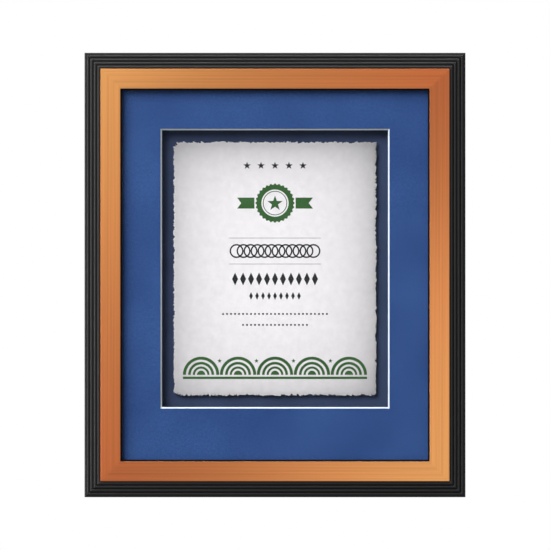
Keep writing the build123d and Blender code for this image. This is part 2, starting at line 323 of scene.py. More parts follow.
def lacquered_wood():
    """Satin black wood: near black with a soft sheen; bare softwood on the back."""
    material, tree, shader = new_material("Satin black lacquered softwood", {"Roughness": 0.36, "IOR": 1.5})
    run = add(tree, "ShaderNodeUVMap", uv_map=RUN_UV)
    across = add(tree, "ShaderNodeSeparateXYZ", {0: run}).outputs["Y"]
    place = add(tree, "ShaderNodeTexCoord").outputs["Object"]
    depth = add(tree, "ShaderNodeSeparateXYZ", {0: place}).outputs["Y"]

    pores = drawn_grain(tree, run, LACQUER_GRAIN, detail=3.0)
    lacquer = add(tree, "ShaderNodeMix", tones(pores, "09090A", "121213"), data_type="RGBA")
    fibre = drawn_grain(tree, run, WOOD_GRAIN, detail=6.0, distortion=0.6)
    wood = add(tree, "ShaderNodeValToRGB", {"Fac": fibre})
    for stop, (position, code) in zip(wood.color_ramp.elements, WOOD_TONES):
        stop.position = position
        stop.color = hex_colour(code)

    mist = add(tree, "ShaderNodeTexNoise", {"Vector": run, "Scale": 1 / MIST_PATCH, "Detail": 4.0})
    reach = add(tree, "ShaderNodeMath", {0: mist, 1: 2 * OVERSPRAY}, operation="MULTIPLY")
    clear_of_spray = add(tree, "ShaderNodeMapRange", {"Value": across, "From Min": 0.0, "From Max": reach})
    at_back = add(tree, "ShaderNodeMath", {0: depth, 1: RAIL_BACK - BACK_SKIN}, operation="GREATER_THAN")
    bare = add(tree, "ShaderNodeMath", {0: clear_of_spray, 1: at_back}, operation="MULTIPLY")

    colour = add(tree, "ShaderNodeMix", {"Factor": bare, "A": lacquer, "B": wood}, data_type="RGBA")
    gloss = add(tree, "ShaderNodeMapRange", {"Value": pores, "To Min": 0.36, "To Max": 0.48})
    sheen = add(tree, "ShaderNodeMix", {"Factor": bare, "A": gloss, "B": 0.75})
    relief = add(tree, "ShaderNodeBump", {"Height": fibre, "Strength": 0.15, "Distance": 0.1 * MM})
    fill(tree, shader, {"Base Color": colour, "Roughness": sheen, "Normal": relief})
    return material


def edge_paint():
    """Flat black paint, brushed on: hardly any sheen, with faint brush streaks."""
    flat = {"Roughness": 0.85, "Specular IOR Level": 0.1}
    material, tree, shader = new_material("Flat black edge paint", flat)
    run = add(tree, "ShaderNodeUVMap", uv_map=RUN_UV)
    brush = drawn_grain(tree, run, EDGE_BRUSH, detail=3.0)
    tone = add(tree, "ShaderNodeMix", tones(brush, "060606", "0E0D0D"), data_type="RGBA")
    fill(tree, shader, {"Base Color": tone})
    return material


black_lacquer = lacquered_wood()
flat_black = edge_paint()
print("made", black_lacquer.name, "and", flat_black.name)

# %% [markdown]
# ### Brushed copper
# The band is copper sheet, brushed along each strip and sealed with a lacquer coat. Brushing
# leaves grooves, which smear a highlight across their own direction: that is what the
# Anisotropic setting does, with its tangent turned a quarter to lie across the strip. Real
# brush marks are about 0.1 mm apart, too fine to show, so they are drawn at 0.4 mm and joined
# by broader tonal streaks. A painted highlight makes the base colour lighter and golder towards
# two opposite corners: the product of a point's two offsets from the centre tells them apart.

# %% Brushed lacquered copper
BRUSH_MARK = (45 * MM, 0.4 * MM, 1)
BRUSH_STREAK = (300 * MM, 1.7 * MM, 1)
PAINTED_HIGHLIGHT_REACH = 0.75
COPPER_CONSTANTS = {
    "Roughness": 0.30,
    "Metallic": 1.0,
    "Anisotropic": 0.35,
    "Anisotropic Rotation": 0.25,
    "Coat Weight": 1.0,
    "Coat Roughness": 0.3,
}


def brushed_copper():
    """Warm orange metal with long streaks, a drawn-out highlight, and a painted highlight that makes it
    lighter and golder on one diagonal.
    """
    material, tree, shader = new_material("Brushed lacquered copper", COPPER_CONSTANTS)
    run = add(tree, "ShaderNodeUVMap", uv_map=RUN_UV)
    tangent = add(tree, "ShaderNodeTangent", direction_type="UV_MAP", uv_map=RUN_UV)
    streaks = drawn_grain(tree, run, BRUSH_STREAK, detail=2.0)
    marks = drawn_grain(tree, run, BRUSH_MARK, detail=3.0)

    # Painted highlight: the base colour turns lighter and golder towards the top left and bottom right
    # corners, and redder towards the other two.
    place = add(tree, "ShaderNodeTexCoord").outputs["Object"]
    centred = add(tree, "ShaderNodeVectorMath", {0: place, 1: tuple(frame_centre)}, operation="SUBTRACT")
    offset = add(tree, "ShaderNodeSeparateXYZ", {0: centred}).outputs
    corner = add(tree, "ShaderNodeMath", {0: offset["X"], 1: offset["Z"]}, operation="MULTIPLY")
    reach = PAINTED_HIGHLIGHT_REACH * frame_size.x * frame_size.z / 4
    diagonal = add(tree, "ShaderNodeMapRange", {"Value": corner, "From Min": -reach, "From Max": reach})
    painted_highlight_tint = add(tree, "ShaderNodeMix", tones(diagonal, "F5A758", "F48240"), data_type="RGBA")
    streak_light = {"Value": streaks, "From Min": 0.3, "From Max": 0.7, "To Min": 0.88, "To Max": 1.09}
    light = add(tree, "ShaderNodeMapRange", streak_light)
    tone = add(tree, "ShaderNodeVectorMath", {0: painted_highlight_tint, "Scale": light}, operation="SCALE")
    gloss = add(tree, "ShaderNodeMapRange", {"Value": marks, "To Min": 0.27, "To Max": 0.35})
    relief = add(tree, "ShaderNodeBump", {"Height": marks, "Strength": 0.08, "Distance": 0.05 * MM})
    fill(tree, shader, {"Base Color": tone, "Roughness": gloss, "Normal": relief, "Tangent": tangent})
    return material


copper = brushed_copper()
print("made", copper.name)

# %% [markdown]
# ### Papers and boards
# The mat's facing is a dyed paper with a fine tooth; its core is white pulp board, cut clean
# by the bevel knife. The floor board is dyed navy. All three are matt, so they differ in
# colour and in how coarse their fibres are. One function makes any such board.

# %% Mat papers and boards
FIBRES_PER_CLOUD = 30
FIBRES_PER_TOOTH = 6


def pulp_board(name, dark, light, fibre, roughness):
    """Matt pulp board: two close tones in a fibre pattern of a given size, with a slight tooth."""
    material, tree, shader = new_material(name, {"Roughness": roughness, "Specular IOR Level": 0.25})
    place = add(tree, "ShaderNodeTexCoord").outputs["Object"]
    fibres = {"Vector": place, "Scale": 1 / fibre, "Detail": 5.0, "Roughness": 0.65}
    tooth = add(tree, "ShaderNodeTexNoise", fibres)
    clouds = {"Vector": place, "Scale": 1 / (FIBRES_PER_CLOUD * fibre), "Detail": 2.0}
    cloud = add(tree, "ShaderNodeTexNoise", clouds)
    blend = add(tree, "ShaderNodeMath", {0: tooth, 1: cloud}, operation="MULTIPLY")
    spread = add(tree, "ShaderNodeMapRange", {"Value": blend, "From Min": 0.12, "From Max": 0.40})
    tone = add(tree, "ShaderNodeMix", tones(spread, dark, light), data_type="RGBA")
    bumps = {"Height": tooth, "Strength": 0.25, "Distance": fibre / FIBRES_PER_TOOTH}
    fill(tree, shader, {"Base Color": tone, "Normal": add(tree, "ShaderNodeBump", bumps)})
    return material


blue_paper = pulp_board("Blue dyed mat paper", "254176", "325188", fibre=2.4 * MM, roughness=0.9)
core_board = pulp_board("White pulp core board", "D2D9E0", "DBE1E8", fibre=0.6 * MM, roughness=0.85)
navy_board = pulp_board("Navy dyed board", "2F3A55", "374362", fibre=1.1 * MM, roughness=0.9)
foam_board = pulp_board("Paper-faced foam board", "E4E4E0", "F2F2EE", fibre=1.2 * MM, roughness=0.9)
print("made", ", ".join(board.name for board in (blue_paper, core_board, navy_board, foam_board)))

# %% [markdown]
# ### Hardboard
# The back is pressed wood fibre: a warm brown sheet with short dark fibres in every
# direction. A noise stretched two ways gives the fibres, and a broad one the uneven pressing.

# %% Hardboard
FIBRE_WIDTH = 0.7 * MM
FIBRE_LENGTH = 4 * MM
PRESSING_PATCH = 18 * MM
HARDBOARD_TONES = ((0.28, "563821"), (0.62, "A67B50"))


def pressed_hardboard():
    """Brown hardboard: short crossed fibres, uneven tone, a dull polish from the press."""
    material, tree, shader = new_material("Pressed hardboard", {"Roughness": 0.6})
    place = add(tree, "ShaderNodeTexCoord").outputs["Object"]
    upright = drawn_grain(tree, place, (FIBRE_WIDTH, 1, FIBRE_LENGTH), detail=3.0, distortion=1.0)
    level = drawn_grain(tree, place, (FIBRE_LENGTH, 1, FIBRE_WIDTH), detail=3.0, distortion=1.0)
    fibres = add(tree, "ShaderNodeMath", {0: upright, 1: level}, operation="MINIMUM")
    pressing = add(tree, "ShaderNodeTexNoise", {"Vector": place, "Scale": 1 / PRESSING_PATCH, "Detail": 5.0})
    amount = add(tree, "ShaderNodeMix", {"Factor": 0.25, "A": fibres, "B": pressing})
    tone = add(tree, "ShaderNodeValToRGB", {"Fac": amount})
    for stop, (position, code) in zip(tone.color_ramp.elements, HARDBOARD_TONES):
        stop.position = position
        stop.color = hex_colour(code)
    relief = add(tree, "ShaderNodeBump", {"Height": fibres, "Strength": 0.2, "Distance": 0.15 * MM})
    fill(tree, shader, {"Base Color": tone, "Normal": relief})
    return material


hardboard = pressed_hardboard()
print("made", hardboard.name)

# %% [markdown]
# ### Plated metal and rubber
# The small hardware is stamped steel, plated with zinc or brass. Plating is bright but never
# even: its tone clouds over a few millimetres, and stamping leaves fine scratches. The bumpers
# are moulded rubber, matt and a little dusty.

# %% Plated steel and rubber
PLATING_CLOUD = 4 * MM
SCRATCH = (3 * MM, 1, 0.25 * MM)
MOULD_GRAIN = 0.8 * MM


def plated_steel(name, dull, bright, roughness):
    """Plated stamping: cloudy metal tone, with a roughness that varies where it was handled."""
    material, tree, shader = new_material(name, {"Roughness": roughness, "Metallic": 1.0})
    place = add(tree, "ShaderNodeTexCoord").outputs["Object"]
    cloud = add(tree, "ShaderNodeTexNoise", {"Vector": place, "Scale": 1 / PLATING_CLOUD, "Detail": 4.0})
    tone = add(tree, "ShaderNodeMix", tones(cloud, dull, bright), data_type="RGBA")
    handling = {"Value": cloud, "To Min": roughness - 0.08, "To Max": roughness + 0.1}
    gloss = add(tree, "ShaderNodeMapRange", handling)
    scratches = drawn_grain(tree, place, SCRATCH, detail=2.0)
    relief = add(tree, "ShaderNodeBump", {"Height": scratches, "Strength": 0.1, "Distance": 0.02 * MM})
    fill(tree, shader, {"Base Color": tone, "Roughness": gloss, "Normal": relief})
    return material


def moulded_rubber():
    """Soft grey bumper: matt, with faint mould texture and dust in its tone."""
    material, tree, shader = new_material("Moulded bumper rubber", {"Roughness": 0.65})
    place = add(tree, "ShaderNodeTexCoord").outputs["Object"]
    grain = add(tree, "ShaderNodeTexNoise", {"Vector": place, "Scale": 1 / MOULD_GRAIN, "Detail": 4.0})
    tone = add(tree, "ShaderNodeMix", tones(grain, "2B2B2C", "404041"), data_type="RGBA")
    relief = add(tree, "ShaderNodeBump", {"Height": grain, "Strength": 0.2, "Distance": 0.05 * MM})
    fill(tree, shader, {"Base Color": tone, "Normal": relief})
    return material


zinc_steel = plated_steel("Zinc-plated steel", "A9ADB0", "CDD1D3", roughness=0.34)
brass_plate = plated_steel("Brass-plated steel", "B08D45", "D6B568", roughness=0.30)
rubber = moulded_rubber()
print("made", ", ".join(finish.name for finish in (zinc_steel, brass_plate, rubber)))

# %% [markdown]
# ### Glazing
# Picture glass that shows no glare carries a thin coating which lowers its reflection. So
# the shader is mostly clear, with a Fresnel share of gloss whose index is set well below
# plain glass. Clear here means that light goes straight on, where real glass bends it. Met at
# a low angle, the pane's inner face would then reflect everything and turn the window black,
# so only the outer face has a share. The rim of the sheet stays hidden in the rabbet.

# %% Coated picture glass
COATED_INDEX = 1.1


def coated_glass():
    """Clear glazing with a faint sheen that grows towards grazing angles."""
    material, tree, pane = new_material("Coated picture glass", {}, kind="ShaderNodeMixShader")
    clear = add(tree, "ShaderNodeBsdfTransparent", {"Color": hex_colour("FDFEFE")})
    sheen = add(tree, "ShaderNodeBsdfGlossy", {"Color": WHITE, "Roughness": 0.04})
    share = add(tree, "ShaderNodeFresnel", {"IOR": COATED_INDEX})
    inner_face = add(tree, "ShaderNodeNewGeometry").outputs["Backfacing"]
    outer_share = add(tree, "ShaderNodeMath", {0: share, 1: inner_face}, operation="SUBTRACT", use_clamp=True)
    fill(tree, pane, {0: outer_share, 1: clear, 2: sheen})
    return material


picture_glass = coated_glass()
print("made", picture_glass.name)

# %% [markdown]
# ## Plain pieces keep their construction mesh
# Boards, mat, glazing and corner nails are right as they are. They only take a finish, by
# swapping the material in each slot of the object.

# %% Finish the construction's own pieces
PLAIN_PIECES = {
    "glazing": picture_glass,
    "window_mat_facing": blue_paper,
    "window_mat_core": core_board,
    "well_floor": navy_board,
    "float_riser": foam_board,
    "backing_board": hardboard,
    "v_nails": zinc_steel,
}
for side in SIDES:
    PLAIN_PIECES[f"spacer_strip_{side}"] = foam_board
for node, finish in PLAIN_PIECES.items():
    for slot in frame["nodes"][node].material_slots:
        slot.material = finish
print("finished", len(PLAIN_PIECES), "construction pieces")

# %% [markdown]
# ## Pieces with a mesh of their own
# A Geometry Nodes group is a recipe with named inputs. Two helpers open and close every group:
# the first lists its inputs, and the second makes any copies real and gives the whole its
# finish. The others set a group's inputs by the identifiers behind their names, turn the
# evaluated result into a plain mesh with closed seams, outward faces and smooth shading that
# stops at real corners, and hide the construction piece that the new one stands for, putting
# the new one on the body it rides on.

# %% Helpers that make and freeze pieces
SHARP_ANGLE = math.radians(32)
MESH_WELD = 0.002 * MM


def new_group(name, result, **inputs):
    """Empty group; returns its tree and its input sockets. Underscores stand for spaces."""
    tree = bpy.data.node_groups.new(name, "GeometryNodeTree")
    tree.is_modifier = True
    for label, kind in inputs.items():
        tree.interface.new_socket(label.replace("_", " "), in_out="INPUT", socket_type=f"NodeSocket{kind}")
    tree.interface.new_socket(result, in_out="OUTPUT", socket_type="NodeSocketGeometry")
    return tree, add(tree, "NodeGroupInput").outputs


def end_group(tree, geometry, finish):
    """Close a group: make its copies real and give the whole its finish."""
    real = add(tree, "GeometryNodeRealizeInstances", {"Geometry": geometry})
    finished = add(tree, "GeometryNodeSetMaterial", {"Geometry": real, "Material": finish})
    add(tree, "NodeGroupOutput", {0: finished})
    print("built group", tree.name, "with", len(tree.nodes), "nodes")
    return tree


def give_group(piece, group, **values):
    """Add a Geometry Nodes modifier and set its inputs; underscores stand for spaces."""
    modifier = piece.modifiers.new(group.name, "NODES")
    modifier.node_group = group
    for item in group.interface.items_tree:
        key = item.name.replace(" ", "_")
        if key in values:
            modifier[item.identifier] = values[key]


def tidy_mesh(mesh):
    """Merge doubles, turn faces outwards and shade smooth up to sharp corners."""
    work = bmesh.new()
    work.from_mesh(mesh)
    bmesh.ops.remove_doubles(work, verts=work.verts, dist=MESH_WELD)
    bmesh.ops.recalc_face_normals(work, faces=work.faces)
    work.to_mesh(mesh)
    work.free()
    mesh.shade_smooth()
    mesh.set_sharp_from_angle(angle=SHARP_ANGLE)


def freeze(piece):
    """Replace a piece's modifiers by the plain mesh that they make, in one finish."""
    depsgraph = bpy.context.evaluated_depsgraph_get()
    evaluated = piece.evaluated_get(depsgraph)
    result = bpy.data.meshes.new_from_object(evaluated, preserve_all_data_layers=True, depsgraph=depsgraph)
    result.name = piece.name
    finish = next((material for material in result.materials if material), None)
    result.materials.clear()
    result.materials.append(finish)
    result.polygons.foreach_set("material_index", [0] * len(result.polygons))
    piece.modifiers.clear()
    piece.data = result
    tidy_mesh(result)


def stand_for(piece, node, body="frame"):
    """Hide the construction piece that a new one stands for, and put the new one on the body it rides on."""
    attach(piece, body)
    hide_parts(node)


print("smooth shading stops at corners of", round(math.degrees(SHARP_ANGLE)), "degrees")

# %% [markdown]
# ## Rails and copper strips
# A moulding is one cross-section pushed along a straight run and mitred at both ends, so a
# small group does exactly that: it fills the drawn section, extrudes it, then draws each point
# of both ends in by its distance from the outer edge, which is what a 45 degree mitre is. The
# group also writes the "run" UV map, whose V takes in some depth as well, so that upright walls
# have a pattern too. One group makes all eight pieces; only the drawn section, the length and
# the finish change.

# %% Geometry Nodes group: a mitred run
DRAWN_WELD = 0.001 * MM
DEPTH_IN_RUN = 0.7


def mitred_run_group():
    """Group that turns a closed section drawing into a mitred length of moulding."""
    tree, given = new_group("Mitred run", "Run", Section="Geometry", Length="Float", Finish="Material")
    length = given["Length"]

    outline = add(tree, "GeometryNodeMeshToCurve", {"Mesh": given["Section"]})
    cap = add(tree, "GeometryNodeFillCurve", {"Curve": outline}, mode="NGONS")
    half = add(tree, "ShaderNodeMath", {0: length, 1: -0.5}, operation="MULTIPLY")
    start = add(tree, "ShaderNodeCombineXYZ", {"Z": half})
    first_cap = add(tree, "GeometryNodeTransform", {"Geometry": cap, "Translation": start})
    # An Offset without a link follows the faces' own directions, so a node gives the way to push
    forward = add(tree, "ShaderNodeCombineXYZ", {"Z": 1.0})
    push = {"Mesh": first_cap, "Offset": forward, "Offset Scale": length, "Individual": False}
    pushed = add(tree, "GeometryNodeExtrudeMesh", push)
    near_end = add(tree, "GeometryNodeFlipFaces", {"Mesh": first_cap})
    closed = add(tree, "GeometryNodeJoinGeometry", {"Geometry": [pushed, near_end]})
    solid = add(tree, "GeometryNodeMergeByDistance", {"Geometry": closed, "Distance": DRAWN_WELD})

    place = add(tree, "ShaderNodeSeparateXYZ", {0: add(tree, "GeometryNodeInputPosition")}).outputs
    inset = add(tree, "ShaderNodeMath", {0: place["X"], 1: length}, operation="DIVIDE")
    shrink = add(tree, "ShaderNodeMath", {0: inset, 1: -2.0, 2: 1.0}, operation="MULTIPLY_ADD")
    along = add(tree, "ShaderNodeMath", {0: place["Z"], 1: shrink}, operation="MULTIPLY")
    mitred_place = add(tree, "ShaderNodeCombineXYZ", {"X": place["X"], "Y": place["Y"], "Z": along})
    mitred = add(tree, "GeometryNodeSetPosition", {"Geometry": solid, "Position": mitred_place})

    sideways = {0: place["Y"], 1: DEPTH_IN_RUN, 2: place["X"]}
    across = add(tree, "ShaderNodeMath", sideways, operation="MULTIPLY_ADD")
    run_place = add(tree, "ShaderNodeCombineXYZ", {"X": place["Z"], "Y": across})
    run_map = {"Geometry": mitred, "Name": RUN_UV, "Value": run_place}
    mapped = add(tree, "GeometryNodeStoreNamedAttribute", run_map, data_type="FLOAT2", domain="CORNER")
    return end_group(tree, mapped, given["Finish"])


run_group = mitred_run_group()

# %% [markdown]
# The rail's section is drawn from its outer edge in: a rounded shoulder, four reeds that
# climb like steps, the flat land under the copper, a rounded sight edge, and the rabbet that
# holds the glass. The copper's section is a bar with its front edges rounded. Where a flat runs
# into a curve, a holding line a hair away keeps smooth shading from bending the flat.

# %% Sections of the rail and the copper
SHOULDER_RADIUS = 1.3 * MM
REED_COUNT = 4
REED_PITCH = 3.6 * MM
REED_CLIMB = 1.2 * MM
REED_BULGE = 1.2 * MM
REED_STEPS = 14
LIP_RADIUS = 1.2 * MM
LIP_STEPS = 8
EDGE_STEPS = 6
RABBET_WIDTH = 6.3 * MM
BACK_EASE = 0.4 * MM
BACK_GAP = 0.06 * MM
COPPER_ROUND = 0.3 * MM
HOLD = 0.05 * MM
QUARTER_RISE = 1 - math.cos(math.radians(45))

copper_low, copper_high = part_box("copper_strip_left")
land = RAIL_BACK - copper_high.y
ledge = RAIL_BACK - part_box("glazing")[0].y
outer_wall = land - REED_COUNT * REED_CLIMB - SHOULDER_RADIUS
copper_in = copper_low.x - frame_low.x
copper_out = copper_high.x - frame_low.x
copper_face = RAIL_BACK - copper_low.y


def arc(start, end, rise, steps):
    """Points after start, up to end, along a circular arc that rises to the left of its chord."""
    chord = Vector(end) - Vector(start)
    radius = (chord.length_squared / 4 + rise * rise) / (2 * rise)
    left = Vector((-chord.y, chord.x)).normalized()
    middle = (Vector(start) + Vector(end)) / 2 - left * (radius - rise)
    spoke = Vector(start) - middle
    sweep = -2 * math.asin(chord.length / (2 * radius))
    return [tuple(middle + Matrix.Rotation(sweep * step / steps, 2) @ spoke) for step in range(1, steps + 1)]


def rail_section():
    """Closed outline of the moulding, (in from the outer edge, forward from the back)."""
    points = [(BACK_EASE, BACK_GAP), (0, BACK_GAP + BACK_EASE), (0, outer_wall - HOLD), (0, outer_wall)]
    foot = (SHOULDER_RADIUS, outer_wall + SHOULDER_RADIUS)
    points += arc(points[-1], foot, SHOULDER_RADIUS * QUARTER_RISE, EDGE_STEPS)
    for reed in range(REED_COUNT):
        next_foot = (foot[0] + REED_PITCH, foot[1] + REED_CLIMB)
        points += arc(foot, next_foot, REED_BULGE, REED_STEPS)
        foot = next_foot
    lip = (MOULDING_WIDTH - LIP_RADIUS, land)
    points += [(lip[0] - HOLD, land), lip]
    points += arc(lip, (MOULDING_WIDTH, land - LIP_RADIUS), LIP_RADIUS * QUARTER_RISE, LIP_STEPS)
    rabbet = MOULDING_WIDTH - RABBET_WIDTH
    points += [(MOULDING_WIDTH, land - LIP_RADIUS - HOLD), (MOULDING_WIDTH, ledge)]
    points += [(rabbet, ledge), (rabbet, BACK_GAP)]
    return points


def copper_section():
    """Closed outline of the copper bar, with its two front edges rounded over."""
    wall = copper_face - COPPER_ROUND
    near = copper_in + COPPER_ROUND
    far = copper_out - COPPER_ROUND
    rise = COPPER_ROUND * QUARTER_RISE
    points = [(copper_in, land), (copper_in, wall - HOLD), (copper_in, wall)]
    points += arc((copper_in, wall), (near, copper_face), rise, EDGE_STEPS)
    points += [(near + HOLD, copper_face), (far - HOLD, copper_face), (far, copper_face)]
    points += arc((far, copper_face), (copper_out, wall), rise, EDGE_STEPS)
    points += [(copper_out, wall - HOLD), (copper_out, land)]
    return points


print("the rail's section has", len(rail_section()), "points and the copper's", len(copper_section()))


# %% Rails and copper strips
def mitred_run(name, inward, section, finish):
    """Mitred piece on one side of the frame, from a section drawing."""
    drawing = bpy.data.meshes.new(name)
    count = len(section)
    drawing.from_pydata([(u, v, 0) for u, v in section], [(i, (i + 1) % count) for i in range(count)], [])
    piece = new_object(name, drawing)
    give_group(piece, run_group, Length=side_length(inward), Finish=finish)
    freeze(piece)
    piece.data.transform(side_place(inward))
    return piece


def paint_sight_edge(rail, inward):
    """Give every face inside the copper the flat black paint."""
    rail.data.materials.append(flat_black)
    to_section = side_place(inward).inverted()
    for face in rail.data.polygons:
        face.material_index = int((to_section @ face.center).x > copper_out)


for side, inward in SIDES.items():
    rail = mitred_run(f"reeded_rail_{side}", inward, rail_section(), black_lacquer)
    paint_sight_edge(rail, inward)
    stand_for(rail, f"{side}_rail")
    band = mitred_run(f"copper_band_{side}", inward, copper_section(), copper)
    stand_for(band, f"copper_strip_{side}")
print("each rail has", len(rail.data.polygons), "faces and each strip", len(band.data.polygons))

# %% [markdown]
# ## The torn sheet
# Handmade paper ends in a deckle: a thin, ragged edge left by the mould. The sheet starts as a
# rectangle of many short steps and grows inwards in a few rings. Noise that runs along the
# edge then pulls the outer rings in, most at the rim, so that no ring crosses the next. Each
# point keeps its distance from the rim, which also thins the paper and pales its torn fibres.

# %% Paper for the sheet
VIGNETTE_REACH = 25 * MM
VIGNETTE_DEPTH = 0.42
VIGNETTE_SHIFT = Vector((-2 * MM, 0, -5 * MM))
PALE_RIM = 1.6 * MM
PULP_CLOUD = 7 * MM
PAPER_TOOTH = 0.8 * MM

sheet_low, sheet_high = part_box("certificate_sheet")
sheet_size = sheet_high - sheet_low
sheet_centre = (sheet_low + sheet_high) / 2


def cotton_paper():
    """Handmade cotton paper: white, toned grey outwards, mottled, with a pale torn rim."""
    material, tree, shader = new_material("Toned cotton paper", {"Roughness": 0.9, "Specular IOR Level": 0.2})
    place = add(tree, "ShaderNodeTexCoord").outputs["Object"]
    middle = tuple(sheet_centre + VIGNETTE_SHIFT)
    centred = add(tree, "ShaderNodeVectorMath", {0: place, 1: middle}, operation="SUBTRACT")
    parts = add(tree, "ShaderNodeSeparateXYZ", {0: centred}).outputs
    rim = add(tree, "ShaderNodeAttribute", attribute_name="rim").outputs["Fac"]
    paling = {"Value": rim, "From Max": PALE_RIM, "To Min": 1.22, "To Max": 1.0}
    tone = add(tree, "ShaderNodeMapRange", paling)
    for axis, half in (("X", sheet_size.x / 2), ("Z", sheet_size.z / 2)):
        out = add(tree, "ShaderNodeMath", {0: parts[axis]}, operation="ABSOLUTE")
        past = add(tree, "ShaderNodeMath", {0: out, 1: half}, operation="SUBTRACT")
        share = add(tree, "ShaderNodeMath", {0: past, 1: VIGNETTE_REACH}, operation="DIVIDE")
        fall = add(tree, "ShaderNodeMath", {0: share}, operation="EXPONENT")
        kept = add(tree, "ShaderNodeMath", {0: fall, 1: -VIGNETTE_DEPTH, 2: 1.0}, operation="MULTIPLY_ADD")
        tone = add(tree, "ShaderNodeMath", {0: tone, 1: kept}, operation="MULTIPLY")
    clouds = {"Vector": place, "Scale": 1 / PULP_CLOUD, "Detail": 5.0, "Roughness": 0.75}
    cloud = add(tree, "ShaderNodeTexNoise", clouds)
    mottling = {"Value": cloud, "From Min": 0.3, "From Max": 0.7, "To Min": 0.93, "To Max": 1.05}
    mottle = add(tree, "ShaderNodeMapRange", mottling)
    shade = add(tree, "ShaderNodeMath", {0: tone, 1: mottle}, operation="MULTIPLY")
    white = add(tree, "ShaderNodeMix", tones(shade, "000000", "EBE5E8"), data_type="RGBA")
    tooth = add(tree, "ShaderNodeTexNoise", {"Vector": place, "Scale": 1 / PAPER_TOOTH, "Detail": 4.0})
    relief = add(tree, "ShaderNodeBump", {"Height": tooth, "Strength": 0.25, "Distance": 0.15 * MM})
    fill(tree, shader, {"Base Color": white, "Normal": relief})
    return material


cotton = cotton_paper()
print("made", cotton.name, "for a sheet of", [round(v / MM, 1) for v in (sheet_size.x, sheet_size.z)], "mm")

# %% [markdown]
# The group works from the edge in: it grows the rings, tears and wears the edge, fills the
# middle, gives the leaf its thickness and lets the rim thin out. The left corners are more worn
# than the right ones.

# %% Geometry Nodes group: a torn sheet
SHEET_RINGS = (0.6 * MM, 1.4 * MM, 2.6 * MM, 4.2 * MM, 6.5 * MM, 9 * MM)
CORNER_REACH = 5.5 * MM
WEAR_CROSSOVER = 50 * MM
RIGHT_WEAR = 0.3
TEAR_EASE = 1.5
LOOSE_FIBRE = 6 * MM
RIM_THINNING = 0.25
FLAT = (1, 1, 0)
SHEET_SIZES = ("Width", "Height", "Thickness", "Step", "Tear", "Tear_Length", "Wear", "Feather", "Seed")


